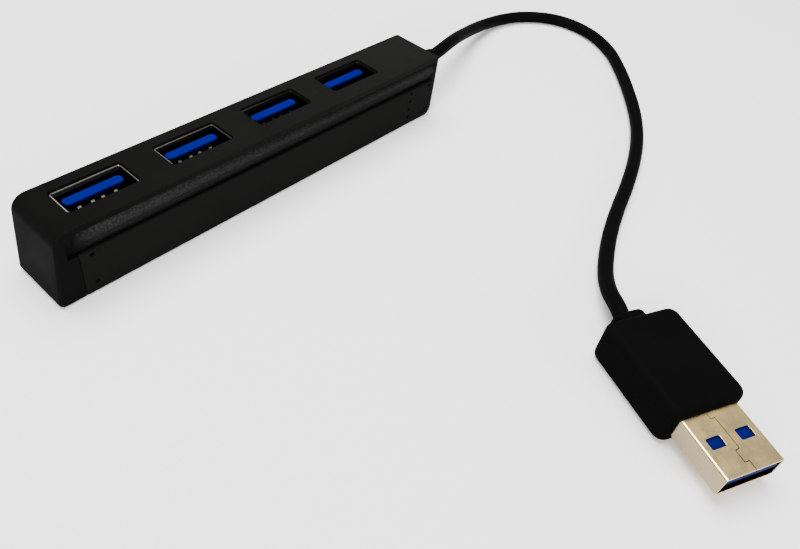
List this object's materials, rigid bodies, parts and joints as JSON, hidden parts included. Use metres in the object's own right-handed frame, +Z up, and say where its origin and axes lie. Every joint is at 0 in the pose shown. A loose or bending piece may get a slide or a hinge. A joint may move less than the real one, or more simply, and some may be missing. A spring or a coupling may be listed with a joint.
{
  "type": "usb hub",
  "caption": "Bar-shaped USB hub: upright sockets in a row on top, glossy trim and flat panel in front, and a short captive lead that ends in a flat plug.",
  "frame": {"origin": "middle of the hub's underside, on the surface that it stands on", "axes": "+X along the bar from the free end to the end where the lead leaves, -Y to the front with the trim, +Z up out of the sockets"},
  "size_m": [0.1741, 0.1225, 0.0156],
  "materials": {
    "case": "satin black moulded plastic",
    "panel": "matt black moulded plastic",
    "gloss": "glossy black plastic with a fine grain",
    "board": "green solder mask",
    "nickel": "nickel plating on folded sheet",
    "plug_plate": "warm nickel plating, handled and slightly smudged",
    "blue": "blue moulded insulator",
    "gold": "gold flash on spring bronze",
    "chip": "matt black package",
    "can": "bare drawn can",
    "cord": "matt black soft jacket",
    "grip": "matt black overmould",
    "red": "red core insulation",
    "white": "white core insulation",
    "green": "green core insulation",
    "black": "black core insulation"
  },
  "bodies": {
    "hub": {"top_housing": "case", "front_panel": "panel", "trim_strip": "gloss", "base_cover": "panel", "circuit_board": "board", "hub_controller": "chip", "voltage_regulator": "chip", "crystal": "nickel", "capacitor_1": "can", "capacitor_2": "can", "port_1_shell": "nickel", "port_1_tongue": "blue", "port_2_shell": "nickel", "port_2_tongue": "blue", "port_3_shell": "nickel", "port_3_tongue": "blue", "port_4_shell": "nickel", "port_4_tongue": "blue", "cable_gland": "grip", "cable_tail": "cord", "core_wire_1": "red", "core_wire_2": "white", "core_wire_3": "green", "core_wire_4": "black", "cord": "cord", "plug_overmould": "grip", "plug_shell": "plug_plate", "plug_insulator": "blue", "plug_contact_1": "gold", "plug_contact_2": "gold", "plug_contact_3": "gold", "plug_contact_4": "gold"},
    "port_1_contacts": {"port_1_contact_1": "gold", "port_1_contact_2": "gold", "port_1_contact_3": "gold", "port_1_contact_4": "gold"},
    "port_2_contacts": {"port_2_contact_1": "gold", "port_2_contact_2": "gold", "port_2_contact_3": "gold", "port_2_contact_4": "gold"},
    "port_3_contacts": {"port_3_contact_1": "gold", "port_3_contact_2": "gold", "port_3_contact_3": "gold", "port_3_contact_4": "gold"},
    "port_4_contacts": {"port_4_contact_1": "gold", "port_4_contact_2": "gold", "port_4_contact_3": "gold", "port_4_contact_4": "gold"}
  },
  "joints": [
    {"name": "port_1_contacts_flex", "type": "hinge", "parent": "hub", "child": "port_1_contacts", "pos_m": [-0.036, 0.00105, 0.0043], "axis": [-1, 0, 0], "range_deg": [0, 3.5], "stiffness_Nm_per_rad": 0.1},
    {"name": "port_2_contacts_flex", "type": "hinge", "parent": "hub", "child": "port_2_contacts", "pos_m": [-0.01545, 0.00105, 0.0043], "axis": [-1, 0, 0], "range_deg": [0, 3.5], "stiffness_Nm_per_rad": 0.1},
    {"name": "port_3_contacts_flex", "type": "hinge", "parent": "hub", "child": "port_3_contacts", "pos_m": [0.0051, 0.00105, 0.0043], "axis": [-1, 0, 0], "range_deg": [0, 3.5], "stiffness_Nm_per_rad": 0.1},
    {"name": "port_4_contacts_flex", "type": "hinge", "parent": "hub", "child": "port_4_contacts", "pos_m": [0.02565, 0.00105, 0.0043], "axis": [-1, 0, 0], "range_deg": [0, 3.5], "stiffness_Nm_per_rad": 0.1}
  ]
}
